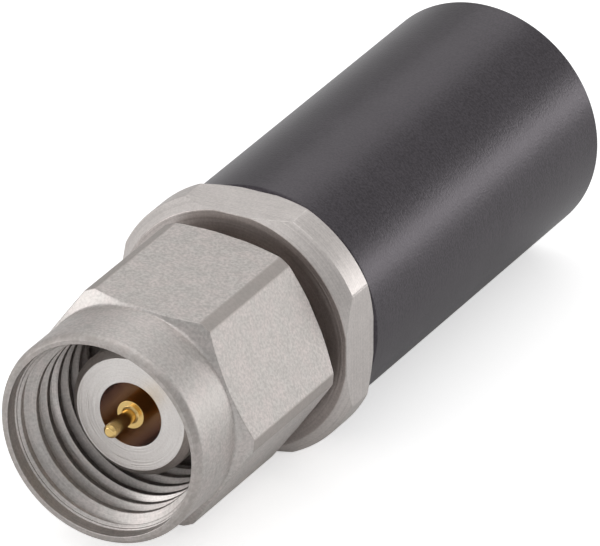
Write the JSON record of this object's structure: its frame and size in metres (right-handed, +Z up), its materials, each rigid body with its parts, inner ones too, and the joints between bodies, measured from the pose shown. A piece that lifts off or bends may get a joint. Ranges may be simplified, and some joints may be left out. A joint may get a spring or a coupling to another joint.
{
  "type": "coaxial short",
  "caption": "Male coaxial short with a free-turning hexagon coupling nut, a gold centre pin, a flange with wrench flats and a long black anodised sleeve.",
  "frame": {"origin": "centre of the reference plane, on the axis, where the pin leaves its shoulder", "axes": "+Y along the axis from the mouth of the nut to the rear of the sleeve, +Z up through a wrench flat of the flange, as the part lies on a table"},
  "size_m": [0.0092, 0.0284, 0.0092],
  "materials": {
    "nut_steel": "passivated stainless steel, finely tumbled flats and a satin turned collar",
    "ring_steel": "drawn spring wire",
    "body_steel": "fine turned stainless steel with milled flats",
    "gold_plate": "gold plate on beryllium copper",
    "screw_steel": "plain stainless steel",
    "black_anodised": "black anodised, satin"
  },
  "bodies": {
    "short_body": {"connector_body": "body_steel", "centre_conductor": "gold_plate", "shorting_disc": "gold_plate", "clamp_screw": "screw_steel", "sleeve": "black_anodised"},
    "ring": {"retaining_ring": "ring_steel"},
    "nut": {"coupling_nut": "nut_steel"}
  },
  "joints": [
    {"name": "nut_float", "type": "slide", "parent": "short_body", "child": "ring", "axis": [0, 1, 0], "range_m": [0, 0.0004]},
    {"name": "nut_spin", "type": "hinge", "parent": "ring", "child": "nut", "pos_m": [0, 0.0046, 0], "axis": [0, 1, 0], "continuous": true}
  ]
}
